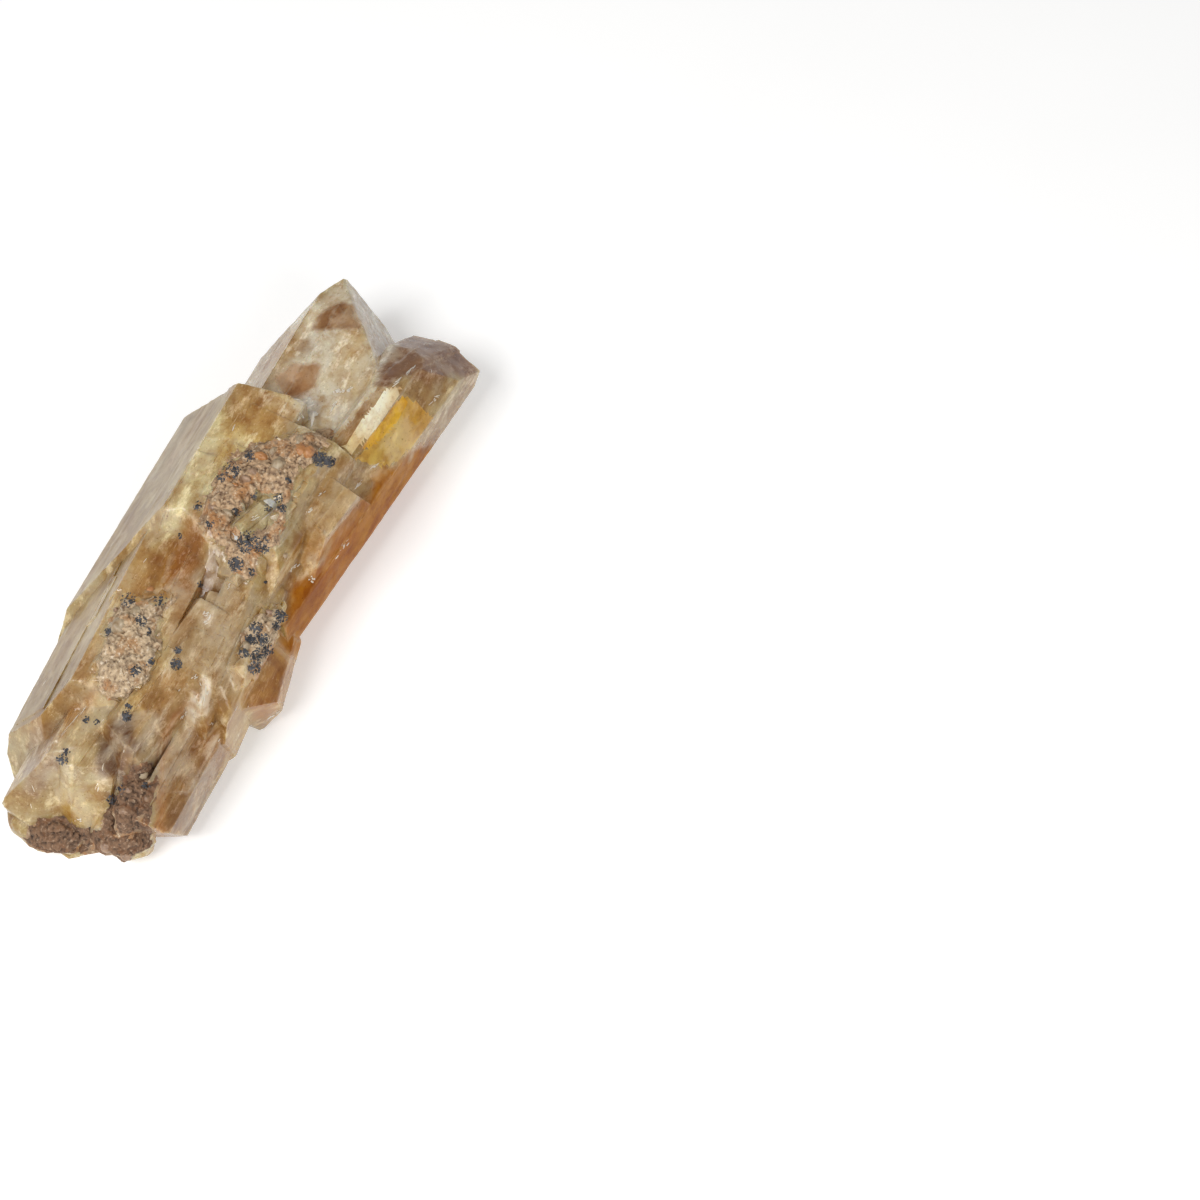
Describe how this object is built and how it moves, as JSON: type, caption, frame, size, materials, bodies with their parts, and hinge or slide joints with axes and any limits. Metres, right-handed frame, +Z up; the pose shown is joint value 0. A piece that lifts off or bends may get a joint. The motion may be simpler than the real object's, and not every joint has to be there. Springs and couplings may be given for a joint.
{
  "type": "golden barite crystal specimen",
  "caption": "Golden barite specimen: long bladed crystals grown side by side with chisel tips, earthy crust patches and a lump of matrix at the foot, resting on its flat underside.",
  "frame": {"origin": "centre of the bounding box's underside, on the surface that the specimen rests on", "axes": "+X along the crystals towards their finished tips, +Y to the side with the long sloping grey faces, +Z up"},
  "size_m": [0.079, 0.0292, 0.0214],
  "materials": {
    "golden_barite": "glassy to greasy, translucent golden brown, with dull tan crust"
  },
  "bodies": {
    "root": {"barite_crystal": "golden_barite"}
  },
  "joints": []
}
